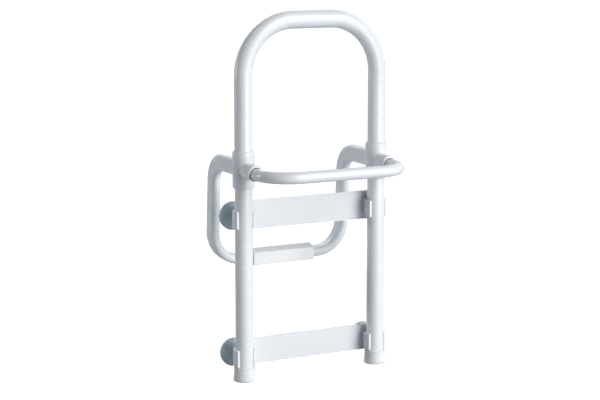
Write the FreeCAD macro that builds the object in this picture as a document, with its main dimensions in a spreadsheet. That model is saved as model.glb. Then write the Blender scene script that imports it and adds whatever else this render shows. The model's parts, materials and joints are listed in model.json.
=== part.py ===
import FreeCAD, Part
import math
import os
import Sketcher

# Over-the-rim bath grab rail.  Millimetres, +Z up, +Y into the bath, X across the rail.
# The origin is the outer top edge of the bath rim, midway between the legs: the suction
# cups end on the plane y = 0 and the arms of the rear hoop rest on the plane z = 0.

DIMENSIONS = {
    # clearances
    "fit_running": 0.08,
    "fit_close": 0.05,
    "end_gap": 0.2,
    "body_gap": 0.3,
    # main hoop
    "tube_radius": 15.9,
    "tube_wall": 2.0,
    "leg_spacing": 271.0,
    "leg_front": 50.5,
    "top_rise": 275.0,
    "top_bend": 96.0,
    "floor_drop": 369.5,
    # rubber feet
    "foot_radius": 19.9,
    "foot_mouth": 18.9,
    "foot_height": 25.0,
    "foot_floor": 6.0,
    # collars, with a socket in front and a spigot behind
    "collar_radius": 19.6,
    "collar_height": 64.5,
    "collar_middle": 13.65,
    "bush_radius": 17.6,
    "bush_flange": 18.7,
    "flange_height": 1.2,
    "socket_radius": 14.3,
    "socket_lift": 1.7,
    "socket_reach": 49.2,
    "socket_mouth": 11.9,
    "mouth_depth": 12.0,
    "socket_floor": 20.5,
    "handle_level": 11.2,
    "shoulder_step": 0.1,
    "spigot_reach": 80.0,
    "core_rise": 2.0,
    "core_half": 7.5,
    "core_radius": 3.6,
    "core_floor": 6.0,
    "screw_boss_radius": 7.0,
    "screw_boss_reach": 26.0,
    "screw_boss_level": -9.0,
    # front handle
    "handle_radius": 10.65,
    "handle_wall": 1.6,
    "handle_reach": 118.0,
    "handle_bend": 55.0,
    "handle_end": 21.0,
    "plug_length": 24.0,
    "handle_screw_back": 29.0,
    "handle_screw_length": 14.0,
    # rear hoop, a flat-oval tube
    "oval_tall": 33.0,
    "oval_wide": 17.5,
    "oval_wall": 2.0,
    "hoop_depth": 71.6,
    "hoop_lean": 3.6,
    "arm_bend": 40.0,
    "arm_joint": 60.0,
    "hoop_drop": 174.2,
    "hoop_bend": 55.0,
    "nut_radius": 4.5,
    "nut_height": 6.0,
    "nut_room": 0.8,
    "nut_back": 28.0,
    # block on the rear hoop
    "block_length": 127.0,
    "block_face": 56.0,
    "block_back": 73.5,
    "block_front_top": 13.5,
    "block_front_bottom": -10.5,
    "block_back_top": 20.5,
    "block_back_bottom": -14.0,
    "block_skin": 3.0,
    "block_screw_spacing": 80.0,
    # cross plates
    "plate_length": 285.0,
    "plate_thick": 3.0,
    "plate_corner": 5.0,
    "upper_plate_tall": 53.0,
    "lower_plate_tall": 48.0,
    "upper_level": -71.6,
    "lower_level": -323.2,
    "plate_back": 21.0,
    "station_drop": 3.6,
    # snap clips
    "clip_radius": 20.2,
    "clip_height": 30.5,
    "clip_grip": 9.5,
    "clip_back_wide": 26.0,
    # suction cups
    "cup_radius": 26.2,
    "cup_rim": 8.2,
    "cup_neck": 9.0,
    "cup_neck_end": 17.2,
    "cup_shoulder": 16.2,
    "cup_shoulder_end": 11.4,
    "cup_lip": 3.6,
    "cup_edge": 0.7,
    "cup_hollow": 5.0,
    "cup_hollow_radius": 11.8,
    "insert_radius": 4.0,
    "insert_length": 10.0,
    # fasteners
    "screw_radius": 2.5,
    "cup_screw_length": 16.0,
    "screw_head": 4.6,
    "screw_head_height": 2.4,
    "set_screw_radius": 3.0,
    "key_flats": 3.0,
    "set_key_depth": 3.0,
    "head_key_depth": 1.7,
    # how far a cut runs past the face it opens
    "cut_past": 1.0,
}

EDGE_ROUND = 1.0
ROOT_ROUND = 1.2
LIP_ROUND = 0.25
FLANGE_ROUND = 0.4
PRONG_LEAD = 1.0
PRONG_ROUND = 0.5

doc = FreeCAD.newDocument("bath_grab_rail")
sheet = doc.addObject("Spreadsheet::Sheet", "dims")
for row, (alias, value) in enumerate(DIMENSIONS.items(), start=1):
    sheet.set("A%d" % row, alias)
    sheet.set("B%d" % row, str(value))
    sheet.setAlias("B%d" % row, alias)
doc.recompute()

SIDES = {"left": -1, "right": 1}
sub_parts = []


def named(text):
    """Turn @name into a reference to the dimension sheet."""
    return str(text).replace("@", "dims.")


def number(text):
    """The present value of an expression, in millimetres or degrees."""
    value = sheet.evalExpression(named(text))
    return float(getattr(value, "Value", value))


def bind(thing, prop, text):
    thing.setExpression(prop, named(text))


def place(thing, across="0", deep="0", level="0"):
    for axis, text in (("x", across), ("y", deep), ("z", level)):
        bind(thing, ".Placement.Base." + axis, text)


def new_body(label):
    body = doc.addObject("PartDesign::Body", label)
    body.Label = label
    sub_parts.append(body)
    return body


def new_sketch(body, plane, name, offset="0", lean=None):
    """A sketch on one of the body's own origin planes, moved along its normal and tipped about X."""
    sketch = body.newObject("Sketcher::SketchObject", body.Name + "_" + name)
    support = [item for item in body.Origin.OriginFeatures if item.Role == plane][0]
    sketch.AttachmentSupport = [(support, "")]
    sketch.MapMode = "FlatFace"
    if lean:
        tip = FreeCAD.Rotation(FreeCAD.Vector(1, 0, 0), number(lean))
        sketch.AttachmentOffset = FreeCAD.Placement(FreeCAD.Vector(), tip)
        bind(sketch, "AttachmentOffset.Rotation.Angle", lean)
    bind(sketch, "AttachmentOffset.Base.z", offset)
    return sketch


def hold(sketch, kind, *where):
    """Add a dimension whose value is the expression given last."""
    text = where[-1]
    index = sketch.addConstraint(Sketcher.Constraint(kind, *where[:-1], number(text)))
    bind(sketch, "Constraints[%d]" % index, text)


def hold_point(sketch, piece, end, across, up):
    hold(sketch, "DistanceX", -1, 1, piece, end, across)
    hold(sketch, "DistanceY", -1, 1, piece, end, up)


def add_circle(sketch, across, up, radius):
    centre = FreeCAD.Vector(number(across), number(up), 0)
    piece = sketch.addGeometry(Part.Circle(centre, FreeCAD.Vector(0, 0, 1), number(radius)))
    hold(sketch, "Radius", piece, radius)
    hold_point(sketch, piece, 3, across, up)


def add_outline(sketch, corners):
    """A closed outline of straight edges through corners given as pairs of expressions."""
    points = [FreeCAD.Vector(number(x), number(y), 0) for x, y in corners]
    ends = points[1:] + points[:1]
    pieces = [sketch.addGeometry(Part.LineSegment(a, b)) for a, b in zip(points, ends)]
    for piece, follower in zip(pieces, pieces[1:] + pieces[:1]):
        sketch.addConstraint(Sketcher.Constraint("Coincident", piece, 2, follower, 1))
    for piece, (x, y) in zip(pieces, corners):
        hold_point(sketch, piece, 1, x, y)


def add_oval(sketch, across, up, half_long, radius):
    """An upright flat oval: two half circles joined by straight sides."""
    round_end = number(radius)
    turn = FreeCAD.Vector(0, 0, 1)
    centre = FreeCAD.Vector(number(across), number(up), 0)
    step = FreeCAD.Vector(0, number(half_long) - round_end, 0)
    side = FreeCAD.Vector(round_end, 0, 0)
    top_circle = Part.Circle(centre + step, turn, round_end)
    low_circle = Part.Circle(centre - step, turn, round_end)
    top = sketch.addGeometry(Part.ArcOfCircle(top_circle, 0, math.pi))
    low = sketch.addGeometry(Part.ArcOfCircle(low_circle, math.pi, 2 * math.pi))
    first = sketch.addGeometry(Part.LineSegment(centre - step + side, centre + step + side))
    second = sketch.addGeometry(Part.LineSegment(centre + step - side, centre - step - side))
    for ends in ((low, 2, first, 1), (first, 2, top, 1), (top, 2, second, 1), (second, 2, low, 1)):
        sketch.addConstraint(Sketcher.Constraint("Tangent", *ends))
    hold(sketch, "Radius", top, radius)
    length = "(%s) - (%s)" % (half_long, radius)
    hold_point(sketch, top, 3, across, "(%s) + %s" % (up, length))
    hold_point(sketch, low, 3, across, "(%s) - (%s)" % (up, length))


def add_bent_path(sketch, corners, radius):
    """Straight runs from corner to corner, joined at each inner corner by a tangent arc."""
    points = [FreeCAD.Vector(number(x), number(y), 0) for x, y in corners]
    bend = number(radius)
    starts, stops = [points[0]], []
    arcs = []
    for before, corner, after in zip(points, points[1:], points[2:]):
        back = (before - corner).normalize()
        ahead = (after - corner).normalize()
        inward = (back + ahead).normalize()
        half = back.getAngle(ahead) / 2
        entry = corner + back * (bend / math.tan(half))
        leave = corner + ahead * (bend / math.tan(half))
        middle = corner + inward * (bend / math.sin(half) - bend)
        stops.append(entry)
        starts.append(leave)
        arcs.append(Part.Arc(entry, middle, leave))
    stops.append(points[-1])
    lines = [sketch.addGeometry(Part.LineSegment(a, b)) for a, b in zip(starts, stops)]
    for index, arc in enumerate(arcs):
        piece = sketch.addGeometry(arc)
        entry_end = 1 if sketch.getPoint(piece, 1).isEqual(stops[index], 1e-6) else 2
        sketch.addConstraint(Sketcher.Constraint("Tangent", lines[index], 2, piece, entry_end))
        sketch.addConstraint(Sketcher.Constraint("Tangent", piece, 3 - entry_end, lines[index + 1], 1))
        hold(sketch, "Radius", piece, radius)
    for index, corner in enumerate(corners[1:-1]):
        mark = sketch.addGeometry(Part.Point(points[index + 1]), True)
        hold_point(sketch, mark, 1, *corner)
        for line in lines[index:index + 2]:
            sketch.addConstraint(Sketcher.Constraint("PointOnObject", mark, 1, line))
    hold_point(sketch, lines[0], 1, *corners[0])
    hold_point(sketch, lines[-1], 2, *corners[-1])


def solid_feature(body, kind, name, sketch, text, prop="Length", reverse=False):
    """Add or cut by a sketch, and make sure that the solid really changed."""
    doc.recompute()
    before = body.Shape.Volume if body.Tip else 0.0
    feature = body.newObject("PartDesign::" + kind, body.Name + "_" + name)
    feature.Profile = sketch
    feature.Reversed = reverse
    bind(feature, prop, text)
    doc.recompute()
    change = body.Shape.Volume - before
    wanted = -1 if kind in ("Pocket", "Groove") else 1
    if change * wanted <= 0:
        raise ValueError("%s changed nothing in %s" % (name, body.Label))
    return feature


def pad(body, name, sketch, length, reverse=False):
    return solid_feature(body, "Pad", name, sketch, length, reverse=reverse)


def pocket(body, name, sketch, length, reverse=False):
    return solid_feature(body, "Pocket", name, sketch, length, reverse=reverse)


def revolve(body, name, sketch):
    doc.recompute()
    feature = body.newObject("PartDesign::Revolution", body.Name + "_" + name)
    feature.Profile = sketch
    feature.ReferenceAxis = (sketch, ["V_Axis"])
    feature.Angle = 360.0
    doc.recompute()
    return feature


def pipe(body, name, profile, path):
    doc.recompute()
    feature = body.newObject("PartDesign::AdditivePipe", body.Name + "_" + name)
    feature.Profile = profile
    edges = ["Edge%d" % (index + 1) for index in range(len(path.Shape.Edges))]
    feature.Spine = (path, edges)
    doc.recompute()
    return feature


def round_edges(body, name, radius, wanted):
    """Fillet the edges of the body for which wanted(edge) is true."""
    doc.recompute()
    base = body.Tip
    edges = ["Edge%d" % (index + 1) for index, edge in enumerate(base.Shape.Edges) if wanted(edge)]
    if not edges:
        raise ValueError("no edges to round in " + body.Label)
    feature = body.newObject("PartDesign::Fillet", body.Name + "_" + name)
    feature.Base = (base, edges)
    feature.Radius = radius
    doc.recompute()
    return feature


def is_circle(edge, radius, axis=None):
    curve = edge.Curve
    if not isinstance(curve, Part.Circle) or abs(curve.Radius - radius) > 0.01:
        return False
    return axis is None or abs(abs(curve.Axis.dot(axis)) - 1) < 1e-6


ALONG_X = FreeCAD.Vector(1, 0, 0)
ALONG_Y = FreeCAD.Vector(0, 1, 0)
ALONG_Z = FreeCAD.Vector(0, 0, 1)


def turned(axis):
    """The rotation that takes a primitive's own +Z onto the axis."""
    return FreeCAD.Rotation(ALONG_Z, axis)


def primitive(kind, name, sizes, axis=ALONG_Z, position=("0", "0", "0")):
    thing = doc.addObject("Part::" + kind, name)
    for prop, text in sizes.items():
        bind(thing, prop, text)
    thing.Placement = FreeCAD.Placement(FreeCAD.Vector(), turned(axis))
    place(thing, *position)
    return thing


def cut_key(name, base, depth, axis, position):
    """Cut a hexagon-key socket into the end of a screw."""
    key = doc.addObject("Part::Prism", name + "_key")
    key.Polygon = 6
    bind(key, "Circumradius", "@key_flats / sqrt(3)")
    bind(key, "Height", depth)
    key.Placement = FreeCAD.Placement(FreeCAD.Vector(), turned(axis))
    place(key, *position)
    screw = doc.addObject("Part::Cut", name)
    screw.Base = base
    screw.Tool = key
    return screw


def group(label, pieces):
    """Identical pieces kept as separate solids under one name."""
    compound = doc.addObject("Part::Compound", label)
    compound.Label = label
    compound.Links = pieces
    sub_parts.append(compound)
    return compound


def leg_x(sign):
    return "%d * @leg_spacing / 2" % sign


def block_screw_x(sign):
    return "%d * @block_screw_spacing / 2" % sign


# ---------------------------------------------------------------- main hoop and feet

def make_main_hoop():
    body = new_body("main_hoop")
    place(body, deep="-@leg_front")
    foot = "@foot_floor - @floor_drop"
    path = new_sketch(body, "XZ_Plane", "path")
    route = [(leg_x(-1), foot), (leg_x(-1), "@top_rise"), (leg_x(1), "@top_rise"), (leg_x(1), foot)]
    add_bent_path(path, route, "@top_bend")
    ring = new_sketch(body, "XY_Plane", "ring", foot)
    add_circle(ring, leg_x(-1), "0", "@tube_radius")
    add_circle(ring, leg_x(-1), "0", "@tube_radius - @tube_wall")
    pipe(body, "tube", ring, path)


def make_foot(side, sign):
    body = new_body("foot_" + side)
    place(body, leg_x(sign), "-@leg_front", "-@floor_drop")
    outline = new_sketch(body, "XZ_Plane", "outline")
    bore = "@tube_radius + @fit_close"
    add_outline(outline, [
        ("0", "0"), ("@foot_radius", "0"), ("@foot_mouth", "@foot_height"),
        (bore, "@foot_height"), (bore, "@foot_floor"), ("0", "@foot_floor"),
    ])
    revolve(body, "cap", outline)
    outer = (number("@foot_radius"), number("@foot_mouth"))
    round_edges(body, "rounding", EDGE_ROUND, lambda edge: any(is_circle(edge, r) for r in outer))


# ---------------------------------------------------------------- collars

def make_collar(side, sign):
    """A T-shaped fitting that slides on one leg."""
    body = new_body("collar_" + side)
    place(body, leg_x(sign), "-@leg_front", "@collar_middle")
    half = "@collar_height / 2"
    barrel = new_sketch(body, "XY_Plane", "barrel", "-" + half)
    add_circle(barrel, "0", "0", "@collar_radius")
    pad(body, "barrel_pad", barrel, "@collar_height")
    round_edges(body, "barrel_round", EDGE_ROUND,
                lambda edge: is_circle(edge, number("@collar_radius"), ALONG_Z))

    handle_up = "@handle_level - @collar_middle"
    socket = new_sketch(body, "XZ_Plane", "socket")
    add_circle(socket, "0", handle_up + " + @socket_lift", "@socket_radius")
    pad(body, "socket_pad", socket, "@socket_reach")
    round_edges(body, "socket_root", ROOT_ROUND,
                lambda edge: not isinstance(edge.Curve, (Part.Circle, Part.Line)))

    arm_up = "@oval_tall / 2 - @collar_middle"
    shoulder = new_sketch(body, "XZ_Plane", "shoulder")
    add_oval(shoulder, "0", arm_up, "@oval_tall / 2", "@oval_wide / 2")
    pad(body, "shoulder_pad", shoulder, "@collar_radius + @shoulder_step", reverse=True)

    spigot = new_sketch(body, "XZ_Plane", "spigot")
    inset = " - @oval_wall - @body_gap"
    add_oval(spigot, "0", arm_up, "@oval_tall / 2" + inset, "@oval_wide / 2" + inset)
    pad(body, "spigot_pad", spigot, "@spigot_reach", reverse=True)

    boss = new_sketch(body, "XZ_Plane", "boss")
    boss_up = "@screw_boss_level - @collar_middle"
    add_circle(boss, "0", boss_up, "@screw_boss_radius")
    pad(body, "boss_pad", boss, "@screw_boss_reach", reverse=True)

    groove = new_sketch(body, "XZ_Plane", "groove", "-@collar_radius - @shoulder_step - @body_gap")
    low, high = "-@collar_middle", "-@collar_middle + @nut_height + @nut_room"
    add_outline(groove, [
        ("-@oval_wide", low), ("@oval_wide", low), ("@oval_wide", high), ("-@oval_wide", high),
    ])
    pocket(body, "groove_cut", groove, "@spigot_reach")

    core = new_sketch(body, "XZ_Plane", "core", "-@spigot_reach")
    add_oval(core, "0", arm_up + " + @core_rise", "@core_half", "@core_radius")
    pocket(body, "core_cut", core, "@spigot_reach - @collar_radius - @core_floor", reverse=True)

    bore = new_sketch(body, "XY_Plane", "bore", half)
    add_circle(bore, "0", "0", "@bush_radius + @fit_close")
    pocket(body, "bore_cut", bore, "@collar_height")

    deep = new_sketch(body, "XZ_Plane", "handle_bore", "@socket_reach")
    add_circle(deep, "0", handle_up, "@handle_radius + @fit_close")
    pocket(body, "handle_bore_cut", deep, "@socket_reach - @socket_floor")
    mouth = new_sketch(body, "XZ_Plane", "mouth", "@socket_reach")
    add_circle(mouth, "0", handle_up, "@socket_mouth")
    pocket(body, "mouth_cut", mouth, "@mouth_depth")

    insert = new_sketch(body, "XZ_Plane", "insert_hole", "-@screw_boss_reach")
    add_circle(insert, "0", boss_up, "@insert_radius + @fit_close")
    pocket(body, "insert_cut", insert, "@screw_boss_reach - @bush_radius + @cut_past", reverse=True)

    screw = new_sketch(body, "XY_Plane", "screw_hole", "-" + half)
    add_circle(screw, "0", "-@handle_screw_back", "@screw_radius + @fit_close")
    pocket(body, "screw_cut", screw, half, reverse=True)
    round_edges(body, "socket_lip", LIP_ROUND,
                lambda edge: is_circle(edge, number("@socket_radius"), ALONG_Y)
                and edge.CenterOfMass.y < -number("@socket_reach - @cut_past"))


def make_bush(side, sign):
    """The sliding liner of a collar, with a flange on its top."""
    body = new_body("collar_bush_" + side)
    place(body, leg_x(sign), "-@leg_front", "@collar_middle")
    outline = new_sketch(body, "XZ_Plane", "outline")
    bore = "@tube_radius + @fit_running"
    top = "@collar_height / 2"
    add_outline(outline, [
        (bore, "-" + top), ("@bush_radius", "-" + top), ("@bush_radius", top),
        ("@bush_flange", top), ("@bush_flange", top + " + @flange_height"),
        (bore, top + " + @flange_height"),
    ])
    revolve(body, "liner", outline)
    round_edges(body, "rounding", FLANGE_ROUND,
                lambda edge: is_circle(edge, number("@bush_flange"))
                and edge.CenterOfMass.z > number(top + " + @flange_height / 2"))


def make_collar_fasteners():
    inserts, screws = [], []
    for side, sign in SIDES.items():
        inner = "@screw_boss_reach - @leg_front"
        at = (leg_x(sign), inner, "@screw_boss_level")
        length = "@screw_boss_reach - @bush_radius - @end_gap"
        outer = primitive("Cylinder", "insert_outer_" + side,
                          {"Radius": "@insert_radius", "Height": length}, -ALONG_Y, at)
        hole = primitive("Cylinder", "insert_hole_" + side,
                         {"Radius": "@set_screw_radius + @fit_close", "Height": length}, -ALONG_Y, at)
        insert = doc.addObject("Part::Cut", "collar_insert_" + side)
        insert.Base = outer
        insert.Tool = hole
        inserts.append(insert)
        start = (leg_x(sign), inner + " - @body_gap", "@screw_boss_level")
        shank = primitive("Cylinder", "set_screw_shank_" + side,
                          {"Radius": "@set_screw_radius", "Height": length + " - @body_gap"}, -ALONG_Y, start)
        screws.append(cut_key("set_screw_" + side, shank, "@set_key_depth", -ALONG_Y, start))
    group("collar_inserts", inserts)
    group("collar_set_screws", screws)


# ---------------------------------------------------------------- front handle

def make_front_handle():
    body = new_body("front_handle")
    place(body, deep="-@leg_front", level="@handle_level")
    path = new_sketch(body, "XY_Plane", "path")
    route = [(leg_x(-1), "-@handle_end"), (leg_x(-1), "-@handle_reach"),
             (leg_x(1), "-@handle_reach"), (leg_x(1), "-@handle_end")]
    add_bent_path(path, route, "@handle_bend")
    ring = new_sketch(body, "XZ_Plane", "ring", "@handle_end")
    add_circle(ring, leg_x(-1), "0", "@handle_radius")
    add_circle(ring, leg_x(-1), "0", "@handle_radius - @handle_wall")
    pipe(body, "tube", ring, path)
    holes = new_sketch(body, "XY_Plane", "screw_holes", "-@handle_radius - @cut_past")
    for sign in SIDES.values():
        add_circle(holes, leg_x(sign), "-@handle_screw_back", "@screw_radius + @fit_close")
    pocket(body, "screw_cut", holes, "@handle_radius", reverse=True)


def make_handle_fixings():
    """Plugs inside the handle's ends, and the set screws that go up into them."""
    plugs, screws = [], []
    for side, sign in SIDES.items():
        at = (leg_x(sign), "-@leg_front - @handle_end - @end_gap", "@handle_level")
        body = primitive("Cylinder", "plug_body_" + side,
                         {"Radius": "@handle_radius - @handle_wall - @fit_close",
                          "Height": "@plug_length"}, -ALONG_Y, at)
        under = "@handle_level + @socket_lift - @socket_radius"
        start = (leg_x(sign), "-@leg_front - @handle_screw_back", under + " + @body_gap")
        hole = primitive("Cylinder", "plug_hole_" + side,
                         {"Radius": "@screw_radius + @fit_close",
                          "Height": "@handle_screw_length + @end_gap"}, ALONG_Z, start)
        plug = doc.addObject("Part::Cut", "plug_" + side)
        plug.Base = body
        plug.Tool = hole
        plugs.append(plug)
        shank = primitive("Cylinder", "handle_screw_shank_" + side,
                          {"Radius": "@screw_radius", "Height": "@handle_screw_length"}, ALONG_Z, start)
        screws.append(cut_key("handle_screw_" + side, shank, "@set_key_depth", ALONG_Z, start))
    group("handle_plugs", plugs)
    group("handle_screws", screws)


# ---------------------------------------------------------------- rear hoop and its block

def make_rear_hoop():
    """Two level arms that bend down into a hoop, which leans into the bath as it goes down."""
    body = new_body("rear_hoop")
    place(body, deep="@hoop_depth", level="@oval_tall / 2")
    joint_deep, joint_level = "@arm_joint * sin(@hoop_lean)", "-@arm_joint * cos(@hoop_lean)"

    def oval_ring(name, sign):
        ring = new_sketch(body, "XY_Plane", name, joint_level, "@hoop_lean")
        bind(ring, "AttachmentOffset.Base.y", joint_deep)
        for inset in ("", " - @oval_wall"):
            add_oval(ring, leg_x(sign), "0", "@oval_tall / 2" + inset, "@oval_wide / 2" + inset)
        return ring

    slant = "-(@hoop_drop + @oval_tall / 2) / cos(@hoop_lean)"
    drop_path = new_sketch(body, "XZ_Plane", "drop_path", lean="@hoop_lean")
    route = [(leg_x(-1), "-@arm_joint"), (leg_x(-1), slant), (leg_x(1), slant), (leg_x(1), "-@arm_joint")]
    add_bent_path(drop_path, route, "@hoop_bend")
    pipe(body, "drop", oval_ring("section", -1), drop_path)
    for side, sign in SIDES.items():
        arm_path = new_sketch(body, "YZ_Plane", "arm_path_" + side, leg_x(sign))
        end = "@collar_radius + @shoulder_step + @body_gap - @leg_front - @hoop_depth"
        add_bent_path(arm_path, [(joint_deep, joint_level), ("0", "0"), (end, "0")], "@arm_bend")
        pipe(body, "arm_" + side, oval_ring("arm_section_" + side, sign), arm_path)
    nut_holes = new_sketch(body, "XY_Plane", "nut_holes", "-@oval_tall / 2 - @cut_past")
    for sign in SIDES.values():
        add_circle(nut_holes, leg_x(sign), "@nut_back - @leg_front - @hoop_depth", "@nut_radius + @fit_close")
    pocket(body, "nut_cut", nut_holes, "@nut_height + @cut_past", reverse=True)
    screw_holes = new_sketch(body, "XZ_Plane", "screw_holes", "@oval_tall")
    for sign in SIDES.values():
        add_circle(screw_holes, block_screw_x(sign), "-@hoop_drop - @oval_tall / 2",
                   "@screw_radius + @fit_close")
    pocket(body, "screw_cut", screw_holes, "@oval_tall * 2")


def make_arm_fasteners():
    nuts, screws = [], []
    for side, sign in SIDES.items():
        at = (leg_x(sign), "@nut_back - @leg_front", "@end_gap")
        outer = primitive("Cylinder", "nut_outer_" + side,
                          {"Radius": "@nut_radius", "Height": "@nut_height - @end_gap * 2"}, ALONG_Z, at)
        hole = primitive("Cylinder", "nut_hole_" + side,
                         {"Radius": "@set_screw_radius + @fit_close", "Height": "@nut_height"}, ALONG_Z, at)
        nut = doc.addObject("Part::Cut", "arm_nut_" + side)
        nut.Base = outer
        nut.Tool = hole
        nuts.append(nut)
        start = (leg_x(sign), "@nut_back - @leg_front", "@end_gap * 2")
        shank = primitive("Cylinder", "arm_screw_shank_" + side,
                          {"Radius": "@set_screw_radius", "Height": "@nut_height"}, ALONG_Z, start)
        screws.append(cut_key("arm_screw_" + side, shank, "@set_key_depth", ALONG_Z, start))
    group("arm_nuts", nuts)
    group("arm_set_screws", screws)


BAR_DEPTH = "@hoop_depth + (@hoop_drop + @oval_tall / 2) * tan(@hoop_lean)"


def make_wall_block():
    """The block that bears on the inside of the bath wall, seated on the front of the hoop's bar."""
    body = new_body("wall_block")
    place(body, level="-@hoop_drop")
    outline = new_sketch(body, "YZ_Plane", "outline", "-@block_length / 2")
    add_outline(outline, [
        ("@block_face", "@block_front_bottom"), ("@block_back", "@block_back_bottom"),
        ("@block_back", "@block_back_top"), ("@block_face", "@block_front_top"),
    ])
    pad(body, "block_pad", outline, "@block_length")
    round_edges(body, "rounding", EDGE_ROUND, lambda edge: True)
    seat = new_sketch(body, "YZ_Plane", "seat", "@block_length / 2 + @cut_past")
    nose = "(@oval_tall - @oval_wide) / 2"
    add_circle(seat, "%s - %s * cos(@hoop_lean)" % (BAR_DEPTH, nose), "-%s * sin(@hoop_lean)" % nose,
               "@oval_wide / 2 + @fit_close")
    pocket(body, "seat_cut", seat, "@block_length + @cut_past * 2")
    holes = new_sketch(body, "XZ_Plane", "screw_holes", "-@block_face - @block_skin")
    for sign in SIDES.values():
        add_circle(holes, block_screw_x(sign), "0", "@screw_radius + @fit_close")
    pocket(body, "screw_cut", holes, "@oval_wide")


def make_wall_block_screws():
    screws = []
    back = BAR_DEPTH + " + @oval_tall / 2"
    for side, sign in SIDES.items():
        across = block_screw_x(sign)
        shank = primitive("Cylinder", "block_screw_shank_" + side,
                          {"Radius": "@screw_radius",
                           "Height": back + " - @block_face - @block_skin - @body_gap"},
                          -ALONG_Y, (across, back, "-@hoop_drop"))
        outer = (across, back + " + @screw_head_height", "-@hoop_drop")
        head = primitive("Cylinder", "block_screw_head_" + side,
                         {"Radius": "@screw_head", "Height": "@screw_head_height"}, -ALONG_Y, outer)
        whole = doc.addObject("Part::Fuse", "block_screw_body_" + side)
        whole.Base = shank
        whole.Tool = head
        screws.append(cut_key("block_screw_" + side, whole, "@head_key_depth", -ALONG_Y, outer))
    group("wall_block_screws", screws)


# ---------------------------------------------------------------- cross plates, clips and suction cups

def make_plate(height_name, tall, level):
    body = new_body(height_name + "_plate")
    place(body, deep="@plate_back - @leg_front", level=level)
    outline = new_sketch(body, "XZ_Plane", "outline", "-@plate_thick")
    half, up = "@plate_length / 2", tall + " / 2"
    add_outline(outline, [("-" + half, "-" + up), (half, "-" + up), (half, up), ("-" + half, up)])
    pad(body, "sheet", outline, "@plate_thick")
    round_edges(body, "corners", number("@plate_corner"),
                lambda edge: abs(edge.tangentAt(edge.FirstParameter).y) > 0.99)
    holes = new_sketch(body, "XZ_Plane", "holes", "0")
    for sign in SIDES.values():
        add_circle(holes, leg_x(sign), "-@station_drop", "@screw_radius + @end_gap")
    pocket(body, "hole_cut", holes, "@plate_thick")


def make_clip(height_name, side, sign, level):
    """A C-shaped clip that snaps round a leg from behind and ends in two flat prongs."""
    body = new_body("clip_%s_%s" % (height_name, side))
    place(body, leg_x(sign), "-@leg_front", level)
    bottom = "-@clip_height / 2"
    ring = new_sketch(body, "XY_Plane", "ring", bottom)
    add_circle(ring, "0", "0", "@clip_radius")
    pad(body, "ring_pad", ring, "@clip_height")
    back = new_sketch(body, "XY_Plane", "back", bottom)
    half = "@clip_back_wide / 2"
    add_outline(back, [("-" + half, "0"), (half, "0"), (half, "@plate_back"), ("-" + half, "@plate_back")])
    pad(body, "back_pad", back, "@clip_height")
    bore = new_sketch(body, "XY_Plane", "bore", "@clip_height / 2")
    add_circle(bore, "0", "0", "@tube_radius + @fit_running")
    pocket(body, "bore_cut", bore, "@clip_height")
    front = new_sketch(body, "XY_Plane", "front", "@clip_height / 2")
    far, near = "-@clip_radius - @cut_past", "@clip_radius + @cut_past"
    add_outline(front, [(far, "-@clip_grip"), (far, far), (near, far), (near, "-@clip_grip")])
    pocket(body, "front_cut", front, "@clip_height")

    def prong_edge(edge, inside):
        upright = abs(edge.tangentAt(edge.FirstParameter).z) > 0.99
        middle = edge.CenterOfMass
        at_front = abs(middle.y + number("@clip_grip")) < 0.01
        return upright and at_front and (abs(middle.x) < number("@tube_radius")) == inside

    round_edges(body, "prong_leads", PRONG_LEAD, lambda edge: prong_edge(edge, True))
    round_edges(body, "prong_corners", PRONG_ROUND, lambda edge: prong_edge(edge, False))
    head = new_sketch(body, "XZ_Plane", "head_seat", "0")
    add_circle(head, "0", "0", "@screw_head + @end_gap / 2")
    pocket(body, "head_cut", head, "@tube_radius + @screw_head_height + @body_gap")
    hole = new_sketch(body, "XZ_Plane", "screw_hole", "0")
    add_circle(hole, "0", "0", "@screw_radius + @end_gap")
    pocket(body, "hole_cut", hole, "@plate_back")


def make_cup(height_name, side, sign, level):
    """A rubber suction cup on a neck, its lip on the bath panel."""
    body = new_body("cup_%s_%s" % (height_name, side))
    place(body, leg_x(sign), "0", level)
    outline = new_sketch(body, "XY_Plane", "outline")
    root = "@plate_back + @plate_thick - @leg_front"
    bore = "@insert_radius + @fit_close"
    blind = root + " + @insert_length + @cut_past / 2"
    add_outline(outline, [
        (bore, root), ("@cup_neck", root), ("@cup_neck", "-@cup_neck_end"),
        ("@cup_shoulder", "-@cup_shoulder_end"), ("@cup_radius - @cup_edge", "-@cup_rim - @cup_edge"),
        ("@cup_radius", "-@cup_rim + @cup_edge"), ("@cup_radius - @cup_edge", "0"),
        ("@cup_radius - @cup_lip", "0"), ("@cup_hollow_radius", "-@cup_hollow"),
        ("0", "-@cup_hollow - @cup_edge"), ("0", blind), (bore, blind),
    ])
    revolve(body, "disc", outline)


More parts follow.
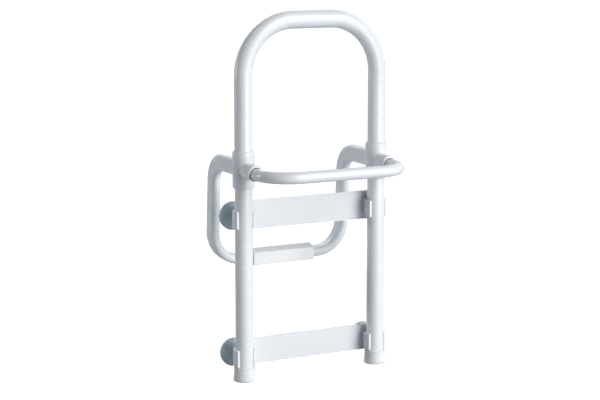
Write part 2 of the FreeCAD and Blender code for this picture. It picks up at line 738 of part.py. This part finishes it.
def make_panel(height_name, tall, level):
    make_plate(height_name, tall, level)
    station = level + " - @station_drop"
    for side, sign in SIDES.items():
        make_clip(height_name, side, sign, station)
        make_cup(height_name, side, sign, station)
    inserts, screws = [], []
    for side, sign in SIDES.items():
        tag = height_name + "_" + side
        root = "@plate_back + @plate_thick - @leg_front"
        at = (leg_x(sign), root, station)
        outer = primitive("Cylinder", "cup_insert_outer_" + tag,
                          {"Radius": "@insert_radius", "Height": "@insert_length"}, ALONG_Y, at)
        hole = primitive("Cylinder", "cup_insert_hole_" + tag,
                         {"Radius": "@screw_radius + @fit_close", "Height": "@insert_length"},
                         ALONG_Y, at)
        insert = doc.addObject("Part::Cut", "cup_insert_" + tag)
        insert.Base = outer
        insert.Tool = hole
        inserts.append(insert)
        seat = (leg_x(sign), "@tube_radius - @leg_front + @body_gap", station)
        head = primitive("Cylinder", "cup_screw_head_" + tag,
                         {"Radius": "@screw_head", "Height": "@screw_head_height"}, ALONG_Y, seat)
        shank = primitive("Cylinder", "cup_screw_shank_" + tag,
                          {"Radius": "@screw_radius", "Height": "@cup_screw_length"}, ALONG_Y, seat)
        whole = doc.addObject("Part::Fuse", "cup_screw_body_" + tag)
        whole.Base = shank
        whole.Tool = head
        screws.append(cut_key("cup_screw_" + tag, whole, "@head_key_depth", ALONG_Y, seat))
    group("cup_inserts_" + height_name, inserts)
    group("cup_screws_" + height_name, screws)


make_main_hoop()
for side_name, side_sign in SIDES.items():
    make_foot(side_name, side_sign)
    make_collar(side_name, side_sign)
    make_bush(side_name, side_sign)
make_collar_fasteners()
make_front_handle()
make_handle_fixings()
make_rear_hoop()
make_arm_fasteners()
make_wall_block()
make_wall_block_screws()
make_panel("upper", "@upper_plate_tall", "@upper_level")
make_panel("lower", "@lower_plate_tall", "@lower_level")

doc.recompute()
for item in doc.Objects:
    if "Invalid" in item.State or "Error" in item.State:
        raise ValueError("%s is %s" % (item.Label, item.State))
for item in sub_parts:
    if item.Shape.isNull() or not item.Shape.isValid():
        raise ValueError(item.Label + " has no valid shape")

os.makedirs("parts", exist_ok=True)
for item in sub_parts:
    item.Shape.exportStep("parts/" + item.Label + ".step")
    print("%-22s solids %d  volume %.1f" % (item.Label, len(item.Shape.Solids), item.Shape.Volume))
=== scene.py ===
import json
import math

import bpy
from mathutils import Matrix, Vector


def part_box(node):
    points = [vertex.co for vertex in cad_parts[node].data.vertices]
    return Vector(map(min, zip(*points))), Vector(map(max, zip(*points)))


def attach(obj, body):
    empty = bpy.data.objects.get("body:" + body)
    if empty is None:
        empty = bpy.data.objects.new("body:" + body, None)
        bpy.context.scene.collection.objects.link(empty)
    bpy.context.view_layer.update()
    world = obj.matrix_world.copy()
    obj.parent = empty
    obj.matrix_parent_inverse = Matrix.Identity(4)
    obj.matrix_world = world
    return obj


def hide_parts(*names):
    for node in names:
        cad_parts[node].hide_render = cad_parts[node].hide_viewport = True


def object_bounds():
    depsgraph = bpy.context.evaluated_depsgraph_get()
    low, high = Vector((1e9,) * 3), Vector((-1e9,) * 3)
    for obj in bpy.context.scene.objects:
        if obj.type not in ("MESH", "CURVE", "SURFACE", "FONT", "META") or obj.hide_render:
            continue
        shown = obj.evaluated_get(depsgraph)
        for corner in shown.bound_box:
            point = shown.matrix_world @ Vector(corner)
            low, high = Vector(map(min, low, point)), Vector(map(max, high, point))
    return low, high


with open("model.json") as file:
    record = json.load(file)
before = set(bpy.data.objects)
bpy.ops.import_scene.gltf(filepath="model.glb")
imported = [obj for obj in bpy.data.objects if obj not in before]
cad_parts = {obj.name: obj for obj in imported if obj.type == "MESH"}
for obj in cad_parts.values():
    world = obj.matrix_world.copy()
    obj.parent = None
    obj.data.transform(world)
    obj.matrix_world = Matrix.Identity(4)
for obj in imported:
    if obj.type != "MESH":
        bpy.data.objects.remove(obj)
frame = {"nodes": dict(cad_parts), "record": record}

CAD_LOW, CAD_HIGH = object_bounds()
NODES = frame["nodes"]
SLOT_OF = {part["node"]: part["material_slot"] for part in frame["record"]["subparts"]}
scene = bpy.context.scene
MM = 0.001
MICRON = 0.000001


# ---------------------------------------------------------------- node graphs

class Graph:
    """A material's node tree, with short calls for the nodes that the finishes share.

    Texture scales are features per metre, and bump depths are metres.
    """

    def __init__(self, name):
        self.material = bpy.data.materials.new(name)
        self.material.use_nodes = True
        self.tree = self.material.node_tree
        self.tree.nodes.clear()
        self.shader = self.add("ShaderNodeBsdfPrincipled")
        output = self.add("ShaderNodeOutputMaterial")
        self.tree.links.new(self.shader.outputs[0], output.inputs["Surface"])
        self.place = self.add("ShaderNodeTexCoord").outputs["Object"]
        self.normal = None

    def add(self, kind, inputs=None, **settings):
        made = self.tree.nodes.new(kind)
        for key, value in settings.items():
            setattr(made, key, value)
        for key, value in (inputs or {}).items():
            self.feed(made.inputs[key], value)
        return made

    def feed(self, socket, value):
        if isinstance(value, bpy.types.NodeSocket):
            self.tree.links.new(value, socket)
        else:
            socket.default_value = value

    def stretched(self, scales):
        """Object coordinates scaled by axis, so that a texture of scale 1 runs along one of them."""
        return self.add("ShaderNodeMapping", {"Vector": self.place, "Scale": scales}).outputs[0]

    def noise(self, scale, detail=3.0, rough=0.5, where=None):
        made = self.add("ShaderNodeTexNoise", {"Vector": where or self.place, "Scale": scale,
                                               "Detail": detail, "Roughness": rough})
        return made.outputs["Fac"]

    def cells(self, scale):
        made = self.add("ShaderNodeTexVoronoi", {"Vector": self.place, "Scale": scale})
        return made.outputs["Distance"]

    def remap(self, value, low, high, to_low=0.0, to_high=1.0, smooth=False):
        made = self.add("ShaderNodeMapRange", {"Value": value, "From Min": low, "From Max": high,
                                               "To Min": to_low, "To Max": to_high}, clamp=True)
        if smooth:
            made.interpolation_type = "SMOOTHSTEP"
        return made.outputs[0]

    def maths(self, what, first, second):
        made = self.add("ShaderNodeMath", operation=what)
        self.feed(made.inputs[0], first)
        self.feed(made.inputs[1], second)
        return made.outputs[0]

    def mix(self, factor, first, second):
        made = self.add("ShaderNodeMix", data_type="RGBA")
        self.feed(made.inputs[0], factor)
        self.feed(made.inputs[6], first)
        self.feed(made.inputs[7], second)
        return made.outputs[2]

    def specks(self, scale, size, patches, low, high):
        """Small round spots, kept only in patches: where a slower noise lies above low."""
        spots = self.remap(self.cells(scale), 0.0, size, 1.0, 0.0)
        return self.maths("MULTIPLY", spots, self.remap(self.noise(patches, detail=1.0), low, high))

    def tinted(self, colour, mask, amount, tint):
        """The colour, drawn towards a tint by an amount where the mask is 1."""
        return self.mix(self.maths("MULTIPLY", mask, amount), colour, tint)

    def raised(self, value, mask, amount):
        """The value, raised by an amount where the mask is 1."""
        return self.maths("ADD", value, self.maths("MULTIPLY", mask, amount))

    def height(self):
        return self.add("ShaderNodeSeparateXYZ", {"Vector": self.place}).outputs[2]

    def bump(self, relief, depth, strength):
        inputs = {"Height": relief, "Distance": depth, "Strength": strength}
        if self.normal is not None:
            inputs["Normal"] = self.normal
        self.normal = self.add("ShaderNodeBump", inputs).outputs[0]

    def finish(self, colour, roughness, **constants):
        self.feed(self.shader.inputs["Base Color"], colour)
        self.feed(self.shader.inputs["Roughness"], roughness)
        if self.normal is not None:
            self.tree.links.new(self.normal, self.shader.inputs["Normal"])
        for name, value in constants.items():
            self.shader.inputs[name.replace("_", " ")].default_value = value
        return self.material


def rgb(red, green, blue):
    return (red, green, blue, 1.0)


# ---------------------------------------------------------------- finishes

PAINT_IOR = 1.52
PLASTIC_IOR = 1.48
RUBBER_IOR = 1.5

PINHOLE_GREY = rgb(0.45, 0.46, 0.48)
RUB_GREY = rgb(0.52, 0.54, 0.57)
SCUFF_GREY = rgb(0.5, 0.5, 0.52)
DIRT_BROWN = rgb(0.38, 0.37, 0.36)
BLOOM_BLUE = rgb(0.64, 0.70, 0.74)
DUST_GREY = rgb(0.74, 0.75, 0.76)

RUB_ACROSS, RUB_ALONG = 1400.0, 22.0
FLOW_BANDS = (60.0, 60.0, 16.0)
SCUFF_LINES = (900.0, 260.0, 90.0)
TOOL_LINES = (500.0, 5200.0, 900.0)
DIRT_FROM, DIRT_TO, DIRT_RAGGED = 3 * MM, 12 * MM, 8 * MM


def powder_coat(name, light, shade, gloss, rub_axis):
    """Baked powder paint: orange peel, a slow tone drift, pinholes and faint rub marks."""
    g = Graph(name)
    drift = g.noise(7.0, detail=2.0)
    colour = g.mix(g.remap(drift, 0.35, 0.65), shade, light)
    pinholes = g.specks(420.0, 0.07, 160.0, 0.62, 0.68)
    colour = g.tinted(colour, pinholes, 0.45, PINHOLE_GREY)
    lines = [RUB_ACROSS] * 3
    lines[rub_axis] = RUB_ALONG
    streaks = g.remap(g.noise(1.0, detail=4.0, rough=0.6, where=g.stretched(lines)), 0.56, 0.74)
    patches = g.remap(g.noise(24.0, detail=2.0), 0.48, 0.62)
    rub = g.maths("MULTIPLY", streaks, patches)
    colour = g.tinted(colour, rub, 0.12, RUB_GREY)
    rough = g.remap(g.noise(46.0, detail=4.0, rough=0.6), 0.3, 0.7, *gloss)
    rough = g.raised(rough, rub, 0.16)
    orange_peel = g.noise(340.0, detail=2.0, rough=0.45)
    powder_grain = g.noise(1500.0, detail=1.0)
    g.bump(orange_peel, 60 * MICRON, 0.55)
    g.bump(powder_grain, 20 * MICRON, 0.35)
    g.bump(pinholes, 60 * MICRON, -0.4)
    return g.finish(colour, rough, IOR=PAINT_IOR)


def moulded_plastic(name, light, shade, gloss, grain):
    """Injection-moulded plastic: flow bands, light scuffs, a fine tool grain and a few sink marks."""
    g = Graph(name)
    flow = g.noise(1.0, rough=0.6, where=g.stretched(FLOW_BANDS))
    colour = g.mix(g.remap(flow, 0.35, 0.7), shade, light)
    scuff = g.remap(g.noise(1.0, detail=5.0, rough=0.7, where=g.stretched(SCUFF_LINES)), 0.62, 0.8)
    colour = g.tinted(colour, scuff, 0.10, SCUFF_GREY)
    rough = g.remap(g.noise(85.0, detail=4.0, rough=0.6), 0.3, 0.7, *gloss)
    rough = g.raised(rough, scuff, 0.12)
    sink_marks = g.noise(70.0, detail=2.0)
    tool_grain = g.cells(grain)
    g.bump(sink_marks, 160 * MICRON, 0.4)
    g.bump(tool_grain, 30 * MICRON, 0.5)
    return g.finish(colour, rough, IOR=PLASTIC_IOR)


def foot_rubber(name):
    """Pale vinyl rubber that has picked up floor dirt round its lower edge."""
    g = Graph(name)
    base = CAD_LOW.z
    mottle = g.noise(130.0, detail=4.0, rough=0.6)
    colour = g.mix(g.remap(mottle, 0.3, 0.7), rgb(0.76, 0.78, 0.80), rgb(0.82, 0.84, 0.86))
    ragged = g.raised(g.height(), g.noise(190.0, detail=4.0, rough=0.7), DIRT_RAGGED)
    dirt = g.remap(ragged, base + DIRT_FROM, base + DIRT_TO, 1.0, 0.0, smooth=True)
    colour = g.tinted(colour, dirt, 0.16, DIRT_BROWN)
    rough = g.remap(mottle, 0.3, 0.7, 0.56, 0.72)
    skin = g.noise(900.0, rough=0.6)
    dents = g.noise(85.0, detail=1.0)
    g.bump(skin, 80 * MICRON, 0.6)
    g.bump(dents, 300 * MICRON, 0.3)
    return g.finish(colour, rough, IOR=RUBBER_IOR)


def cup_rubber(name):
    """Blue-grey suction-cup rubber with a dusty bloom and a slight skin sheen."""
    g = Graph(name)
    cloud = g.noise(52.0, detail=4.0, rough=0.6)
    colour = g.mix(g.remap(cloud, 0.3, 0.7), rgb(0.530, 0.620, 0.685), rgb(0.590, 0.680, 0.745))
    bloom = g.remap(g.noise(19.0, detail=5.0, rough=0.7), 0.5, 0.72)
    colour = g.tinted(colour, bloom, 0.25, BLOOM_BLUE)
    dust = g.specks(700.0, 0.09, 300.0, 0.6, 0.66)
    colour = g.tinted(colour, dust, 0.5, DUST_GREY)
    rough = g.raised(g.remap(cloud, 0.3, 0.7, 0.34, 0.52), bloom, 0.15)
    skin = g.noise(620.0)
    g.bump(skin, 50 * MICRON, 0.6)
    return g.finish(colour, rough, IOR=RUBBER_IOR, Sheen_Weight=0.12, Sheen_Roughness=0.5)


def turned_metal(name, light, shade, gloss, tarnish):
    """Turned fastener metal: fine tool lines, and blotches where it has dulled."""
    g = Graph(name)
    blotch = g.noise(260.0, detail=4.0, rough=0.6)
    colour = g.mix(g.remap(blotch, 0.3, 0.7), shade, light)
    dull = g.remap(g.noise(120.0, detail=5.0, rough=0.7), 0.52, 0.7)
    colour = g.tinted(colour, dull, 0.35, tarnish)
    rough = g.raised(g.remap(blotch, 0.3, 0.7, *gloss), dull, 0.18)
    tool_lines = g.noise(1.0, detail=2.0, where=g.stretched(TOOL_LINES))
    g.bump(tool_lines, 20 * MICRON, 0.6)
    return g.finish(colour, rough, Metallic=1.0)


FINISHES = {
    "tube_paint": powder_coat("tube_powder_coat", rgb(0.81, 0.84, 0.87), rgb(0.78, 0.81, 0.85),
                              gloss=(0.20, 0.30), rub_axis=2),
    "plate_paint": powder_coat("plate_powder_coat", rgb(0.75, 0.78, 0.815), rgb(0.72, 0.75, 0.79),
                               gloss=(0.34, 0.46), rub_axis=0),
    "white_plastic": moulded_plastic("collar_and_clip_plastic", rgb(0.80, 0.83, 0.86),
                                     rgb(0.77, 0.80, 0.84), gloss=(0.24, 0.36), grain=1500.0),
    "liner_plastic": moulded_plastic("liner_plastic", rgb(0.74, 0.77, 0.79), rgb(0.70, 0.73, 0.75),
                                     gloss=(0.46, 0.60), grain=1100.0),
    "block_plastic": moulded_plastic("block_plastic", rgb(0.88, 0.88, 0.89), rgb(0.85, 0.86, 0.87),
                                     gloss=(0.46, 0.60), grain=1300.0),
    "foot_rubber": foot_rubber("foot_rubber"),
    "cup_rubber": cup_rubber("cup_rubber"),
    "brass": turned_metal("brass", rgb(0.78, 0.60, 0.30), rgb(0.68, 0.50, 0.24),
                          gloss=(0.24, 0.36), tarnish=rgb(0.42, 0.32, 0.18)),
    "zinc_steel": turned_metal("zinc_steel", rgb(0.62, 0.64, 0.67), rgb(0.54, 0.56, 0.60),
                               gloss=(0.22, 0.36), tarnish=rgb(0.40, 0.41, 0.42)),
}

for node_name, thing in NODES.items():
    thing.data.materials.clear()
    thing.data.materials.append(FINISHES[SLOT_OF[node_name]])


# ---------------------------------------------------------------- mesh tools

CORNER_STEPS = 6
CORNER_SHARE = 0.49
LATHE_STEPS = 96


def rounded(corners, steps=CORNER_STEPS):
    """A profile whose corners (across, along, radius) are rounded, by up to half of each side."""
    out = []
    last = len(corners) - 1
    for index, (across, along, radius) in enumerate(corners):
        here = Vector((across, along))
        if index in (0, last) or radius <= 0:
            out.append(here)
            continue
        before = Vector(corners[index - 1][:2]) - here
        after = Vector(corners[index + 1][:2]) - here
        half = before.angle(after) / 2
        back = min(radius / math.tan(half), before.length * CORNER_SHARE, after.length * CORNER_SHARE)
        start = here + before.normalized() * back
        stop = here + after.normalized() * back
        for step in range(steps + 1):
            t = step / steps
            out.append(start * (1 - t) ** 2 + here * 2 * t * (1 - t) + stop * t ** 2)
    return out


def lathe(profile, wave=None):
    """Rings round the local z axis. A profile point on the axis closes the surface with a fan."""
    points, faces, rings = [], [], []
    for radius, along in profile:
        if radius < 1e-6:
            rings.append([len(points)])
            points.append(Vector((0, 0, along)))
            continue
        ring = []
        for step in range(LATHE_STEPS):
            turn = 2 * math.pi * step / LATHE_STEPS
            grow = 1.0 + (wave(turn, radius) if wave else 0.0)
            ring.append(len(points))
            points.append(Vector((radius * grow * math.cos(turn),
                                  radius * grow * math.sin(turn), along)))
        rings.append(ring)
    for lower, upper in zip(rings, rings[1:]):
        for step in range(LATHE_STEPS):
            follow = (step + 1) % LATHE_STEPS
            if len(lower) == 1:
                faces.append((lower[0], upper[follow], upper[step]))
            elif len(upper) == 1:
                faces.append((lower[step], lower[follow], upper[0]))
            else:
                faces.append((lower[step], lower[follow], upper[follow], upper[step]))
    return points, faces


def replacement(name, points, faces, body, slot, node):
    """A smooth piece that rides on a body and stands for a CAD node."""
    mesh = bpy.data.meshes.new(name)
    mesh.from_pydata([tuple(p) for p in points], [], faces)
    mesh.validate()
    mesh.update()
    for face in mesh.polygons:
        face.use_smooth = True
    thing = bpy.data.objects.new(name, mesh)
    scene.collection.objects.link(thing)
    mesh.materials.append(FINISHES[slot])
    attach(thing, body)
    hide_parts(node)


# ---------------------------------------------------------------- suction cups
# Sizes are in millimetres. Depths run from the plate's side of the cup to its lip.

SOCKET_RADIUS, SOCKET_DEPTH = 4.05, 10.6
FLANGE_RADIUS, FLANGE_DEPTH = 9.0, 2.6
NECK_RADIUS, NECK_DEPTH = 8.2, 8.2
SHOULDER_RADIUS = 10.5
DISC_DEPTH = 8.3
INNER_STEP_RADIUS, OUTER_STEP_RADIUS = 14.6, 19.4
STEP_DRAFT = 0.3
HOLLOW_RADIUS, HOLLOW_DEPTH = 12.0, 5.6
LIP_WAVE, LIP_WAVE_START = 0.004, 0.7


def make_cup(node, body):
    """A cup turned round its screw: flange, neck, two steps and a lip that isn't quite round."""
    low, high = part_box(node)
    middle = (low + high) / 2
    depth = (high.y - low.y) / MM
    outer = (high.x - low.x) / MM / 2
    disc = depth - DISC_DEPTH
    profile = [
        (0, SOCKET_DEPTH, 0), (SOCKET_RADIUS, SOCKET_DEPTH, 0), (SOCKET_RADIUS, 0, 0.3),
        (FLANGE_RADIUS, 0, 0.8), (FLANGE_RADIUS, FLANGE_DEPTH, 0.5),
        (NECK_RADIUS, FLANGE_DEPTH + 0.8, 0.5), (NECK_RADIUS, NECK_DEPTH, 2.5),
        (SHOULDER_RADIUS, disc - 4.4, 1.5),
        (INNER_STEP_RADIUS, disc - 3.2, 1.0), (INNER_STEP_RADIUS + STEP_DRAFT, disc - 2.4, 0.5),
        (OUTER_STEP_RADIUS, disc - 1.7, 0.6), (OUTER_STEP_RADIUS + STEP_DRAFT, disc - 1.0, 0.4),
        (outer - 1.3, disc - 0.2, 1.2), (outer, disc + 1.6, 1.2),
        (outer - 0.9, depth, 0.5), (outer - 2.2, depth, 0.4), (outer - 3.8, depth - 1.1, 0.8),
        (HOLLOW_RADIUS, depth - HOLLOW_DEPTH + 1.0, 6.0), (0, depth - HOLLOW_DEPTH, 0),
    ]

    def wave(turn, radius):
        return LIP_WAVE * (radius / outer) ** 3 * math.sin(3 * turn + LIP_WAVE_START)

    points, faces = lathe(rounded(profile), wave)
    stand = Matrix.Translation((middle.x, low.y, middle.z)) @ Matrix.Rotation(-math.pi / 2, 4, "X")
    points = [stand @ (p * MM) for p in points]
    replacement(node.replace("cup_", "suction_cup_"), points, faces, body, "cup_rubber", node)


# ---------------------------------------------------------------- feet
# Sizes are in millimetres. Heights run from the floor up.

TREAD_HEIGHT, TREAD_SLOPE = 1.2, 0.4
INNER_TREAD_FROM, INNER_TREAD_TO, OUTER_TREAD_FROM = 6.4, 10.0, 13.0
WALL_DRAW = 1.3
BORE_RADIUS, BORE_FLOOR = 15.95, 6.0
MOUTH_RADIUS = 16.1


def make_foot(node):
    """A foot turned round its leg: two tread rings below, tapered wall, and a bead at the mouth."""
    low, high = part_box(node)
    middle = (low + high) / 2
    tall = (high.z - low.z) / MM
    outer = (high.x - low.x) / MM / 2
    profile = [
        (0, TREAD_HEIGHT, 0),
        (INNER_TREAD_FROM - TREAD_SLOPE, TREAD_HEIGHT, 0.4), (INNER_TREAD_FROM, 0, 0.3),
        (INNER_TREAD_TO, 0, 0.3), (INNER_TREAD_TO + TREAD_SLOPE, TREAD_HEIGHT, 0.4),
        (OUTER_TREAD_FROM - TREAD_SLOPE, TREAD_HEIGHT, 0.4), (OUTER_TREAD_FROM, 0, 0.3),
        (outer - 1.2, 0, 0.6), (outer, 1.4, 1.2), (outer - 0.1, 4.0, 2.0),
        (outer - WALL_DRAW, tall - 3.8, 1.5), (outer - WALL_DRAW, tall - 2.6, 0.3),
        (outer - 0.8, tall - 2.1, 0.4), (outer - 0.9, tall - 0.5, 0.6), (outer - 1.6, tall, 0.5),
        (MOUTH_RADIUS, tall, 0.3), (BORE_RADIUS, tall - 1.0, 0.3),
        (BORE_RADIUS, BORE_FLOOR, 0.3), (0, BORE_FLOOR, 0),
    ]
    points, faces = lathe(rounded(profile))
    stand = Matrix.Translation((middle.x, middle.y, low.z))
    points = [stand @ (p * MM) for p in points]
    replacement(node.replace("foot_", "rubber_foot_"), points, faces, "leg_frame", "foot_rubber", node)


# ---------------------------------------------------------------- wall block
# Sizes are in millimetres. The seat holds the nose of the rear hoop's flat-oval bar.

BAR_RADIUS = 8.75
BAR_FLAT = 15.47
SEAT_GAP = 0.06
SEAT_STEPS = 16
SLOPE_TOP, SLOPE_UNDER = 7.0, 3.5
FRONT_ROUND, BACK_ROUND, SEAT_ROUND = 2.2, 1.4, 0.4
SECTION_STEPS = 5
END_ROUND, END_STEPS = 1.6, 6
LENGTH_STEPS = 24


def block_section(low, high):
    """The block's outline across its length, as (y, z) in millimetres, with the seat cut in behind."""
    face, back = low.y / MM, high.y / MM
    top, under = high.z / MM, low.z / MM
    hoop_low, hoop_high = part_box("rear_hoop")
    bar_y = hoop_high.y / MM - BAR_RADIUS - BAR_FLAT
    bar_z = hoop_low.z / MM + BAR_RADIUS
    seat = BAR_RADIUS + SEAT_GAP
    limit = math.acos((bar_y - back) / seat)
    reach = seat * math.sin(limit)
    seat_under = (back, bar_z - reach, SEAT_ROUND)
    seat_top = (back, bar_z + reach, SEAT_ROUND)
    outline = [(back, under, BACK_ROUND), (face, under + SLOPE_UNDER, FRONT_ROUND),
               (face, top - SLOPE_TOP, FRONT_ROUND), (back, top, BACK_ROUND)]
    section = rounded([seat_top, seat_under] + outline + [seat_top, seat_under], SECTION_STEPS)[1:-1]
    for step in range(1, SEAT_STEPS):
        turn = limit - 2 * limit * step / SEAT_STEPS
        section.append(Vector((bar_y - seat * math.cos(turn), bar_z + seat * math.sin(turn))))
    return section


def block_stations(half):
    """Places along the block, each with how far the section draws in there to round the ends."""
    end = []
    for step in range(END_STEPS + 1):
        turn = math.pi / 2 * step / END_STEPS
        end.append((-half + END_ROUND * (1 - math.sin(turn)), END_ROUND * (1 - math.cos(turn))))
    end.sort()
    inner = [(-half + END_ROUND + (half - END_ROUND) * 2 * step / LENGTH_STEPS, 0.0)
             for step in range(1, LENGTH_STEPS)]
    return end + inner + [(-x, draw) for x, draw in reversed(end)]


def make_block(node):
    """A block seated on the bar: its section runs along x and draws in at both ends."""
    low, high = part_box(node)
    section = block_section(low, high)
    stations = block_stations((high.x - low.x) / MM / 2)
    count = len(section)
    centre = Vector((sum(p.x for p in section) / count, sum(p.y for p in section) / count))
    points, faces = [], []
    for x, draw in stations:
        for p in section:
            drawn = p + (centre - p).normalized() * draw
            points.append(Vector((x, drawn.x, drawn.y)) * MM)
    for row in range(len(stations) - 1):
        here, there = row * count, (row + 1) * count
        for step in range(count):
            follow = (step + 1) % count
            faces.append((here + step, here + follow, there + follow, there + step))
    faces.append(tuple(reversed(range(count))))
    faces.append(tuple(range((len(stations) - 1) * count, len(stations) * count)))
    replacement("moulded_block", points, faces, "rear_clamp", "block_plastic", node)


for level in ("upper", "lower"):
    for side in ("left", "right"):
        make_cup("cup_%s_%s" % (level, side), level + "_panel")
for side in ("left", "right"):
    make_foot("foot_" + side)
make_block("wall_block")


# ---------------------------------------------------------------- floor

FLOOR_REACH = 60.0
FLOOR_LIFT = 0.80
WHITE = rgb(1.0, 1.0, 1.0)


def make_floor():
    """A pale studio floor at the feet, lifted towards white for the camera."""
    level = CAD_LOW.z
    corners = [(-FLOOR_REACH, -FLOOR_REACH, level), (FLOOR_REACH, -FLOOR_REACH, level),
               (FLOOR_REACH, FLOOR_REACH, level), (-FLOOR_REACH, FLOOR_REACH, level)]
    mesh = bpy.data.meshes.new("studio_floor")
    mesh.from_pydata(corners, [], [(0, 1, 2, 3)])
    mesh.update()
    floor = bpy.data.objects.new("studio_floor", mesh)
    scene.collection.objects.link(floor)
    g = Graph("studio_paper")
    tone = g.mix(g.noise(3.0), rgb(0.42, 0.43, 0.44), rgb(0.44, 0.45, 0.46))
    seen = g.add("ShaderNodeLightPath").outputs["Is Camera Ray"]
    g.feed(g.shader.inputs["Emission Color"], WHITE)
    g.feed(g.shader.inputs["Emission Strength"], g.maths("MULTIPLY", seen, FLOOR_LIFT))
    mesh.materials.append(g.finish(tone, g.remap(g.noise(8.0), 0.3, 0.7, 0.85, 0.95)))


# ---------------------------------------------------------------- light

KEY_SOFTNESS = 45
ROOM_TINT = rgb(0.90, 0.95, 1.0)
ROOM_LIGHT = 0.04
SWEEP_SIDE = (0.46, 0.88, 0.12)
SWEEP_FADE = (0.25, 0.9)
SWEEP_LIGHT = 1.0


def add_light(name, kind, azimuth, elevation, distance, energy, colour):
    """A light aimed at the origin. Azimuth 0 is in front of the rail and 90 to its right."""
    turn, lift = math.radians(azimuth), math.radians(elevation)
    direction = Vector((math.sin(turn) * math.cos(lift), -math.cos(turn) * math.cos(lift),
                        math.sin(lift)))
    light = bpy.data.lights.new(name, kind)
    light.energy = energy
    light.color = colour
    thing = bpy.data.objects.new(name, light)
    thing.location = direction * distance
    thing.rotation_mode = "QUATERNION"
    thing.rotation_quaternion = (-direction).to_track_quat("-Z", "Y")
    thing.visible_camera = False
    scene.collection.objects.link(thing)
    return light


def add_panel(name, azimuth, elevation, distance, energy, colour, width, height):
    panel = add_light(name, "AREA", azimuth, elevation, distance, energy, colour)
    panel.shape = "RECTANGLE"
    panel.size = width
    panel.size_y = height


def make_lights():
    """A broad key from the front right, a rim light, a panel behind and a low fill in front."""
    key = add_light("key", "SUN", azimuth=26, elevation=27, distance=4.0, energy=2.62,
                    colour=(1.0, 0.995, 0.98))
    key.angle = math.radians(KEY_SOFTNESS)
    add_panel("left_rim", azimuth=-124, elevation=10, distance=2.2, energy=13.5,
              colour=(0.93, 0.97, 1.0), width=0.30, height=0.8)
    add_panel("back_fill", azimuth=176, elevation=24, distance=2.6, energy=12.0,
              colour=(0.97, 0.985, 1.0), width=1.6, height=1.2)
    add_panel("low_fill", azimuth=18, elevation=-6, distance=2.0, energy=10.5,
              colour=(1.0, 1.0, 1.0), width=1.2, height=0.4)


def make_world():
    """A white room for the camera, which lights the rail from a bright sweep behind it."""
    world = bpy.data.worlds.new("studio")
    scene.world = world
    world.use_nodes = True
    nodes, links = world.node_tree.nodes, world.node_tree.links
    room = nodes["Background"]
    room.inputs["Color"].default_value = ROOM_TINT
    behind = nodes.new("ShaderNodeVectorMath")
    behind.operation = "DOT_PRODUCT"
    behind.inputs[1].default_value = SWEEP_SIDE
    links.new(nodes.new("ShaderNodeTexCoord").outputs["Generated"], behind.inputs[0])
    fade = nodes.new("ShaderNodeMapRange")
    fade.interpolation_type = "SMOOTHSTEP"
    fade.inputs["From Min"].default_value, fade.inputs["From Max"].default_value = SWEEP_FADE
    fade.inputs["To Min"].default_value = ROOM_LIGHT
    fade.inputs["To Max"].default_value = SWEEP_LIGHT
    links.new(behind.outputs["Value"], fade.inputs["Value"])
    links.new(fade.outputs[0], room.inputs["Strength"])
    seen = nodes.new("ShaderNodeBackground")
    seen.inputs["Color"].default_value = WHITE
    either = nodes.new("ShaderNodeMixShader")
    links.new(nodes.new("ShaderNodeLightPath").outputs["Is Camera Ray"], either.inputs[0])
    links.new(room.outputs[0], either.inputs[1])
    links.new(seen.outputs[0], either.inputs[2])
    links.new(either.outputs[0], nodes["World Output"].inputs["Surface"])


# ---------------------------------------------------------------- camera

CAMERA_PLACE = (-1.3903, -2.6378, 0.4323)
CAMERA_DIRECTION = (0.46112, 0.87237, -0.16229)
SENSOR_WIDTH = 36.0
LENS = 98.7


def make_camera():
    camera = bpy.data.cameras.new("camera")
    camera.sensor_width = SENSOR_WIDTH
    camera.lens = LENS
    eye = bpy.data.objects.new("camera", camera)
    eye.location = CAMERA_PLACE
    eye.rotation_mode = "QUATERNION"
    eye.rotation_quaternion = Vector(CAMERA_DIRECTION).to_track_quat("-Z", "Y")
    scene.collection.objects.link(eye)
    scene.camera = eye


make_floor()
make_lights()
make_world()
make_camera()
scene.view_settings.view_transform = "Standard"
scene.view_settings.look = "None"
